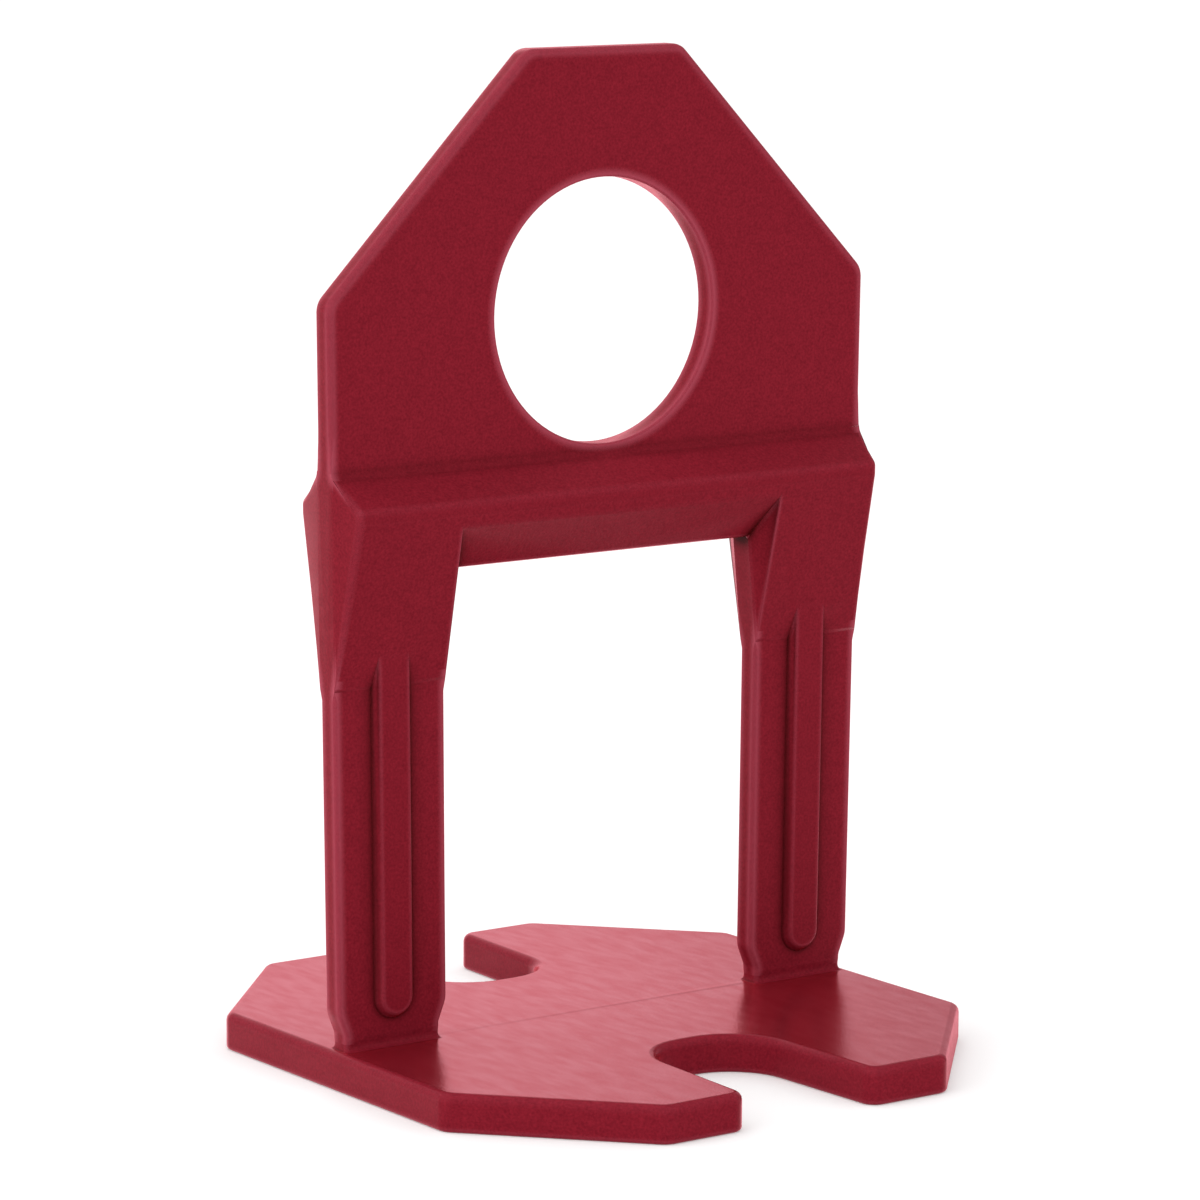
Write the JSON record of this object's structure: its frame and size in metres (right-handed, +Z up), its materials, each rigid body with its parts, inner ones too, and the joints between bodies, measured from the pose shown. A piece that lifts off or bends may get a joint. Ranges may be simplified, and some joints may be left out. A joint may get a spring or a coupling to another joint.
{
  "type": "tile levelling clip",
  "caption": "Break-off tile levelling clip: pierced head plate over a wedge window, legs with spacer ribs, and a slotted octagonal base that stays under the tiles.",
  "frame": {"origin": "middle of the underside of the base, on the floor", "axes": "+X across the head, +Y through the plate from front to back, +Z up"},
  "size_m": [0.0316, 0.0342, 0.0488],
  "materials": {
    "clip": "dark red moulded plastic, semi-gloss"
  },
  "bodies": {
    "root": {"levelling_clip": "clip"}
  },
  "joints": []
}
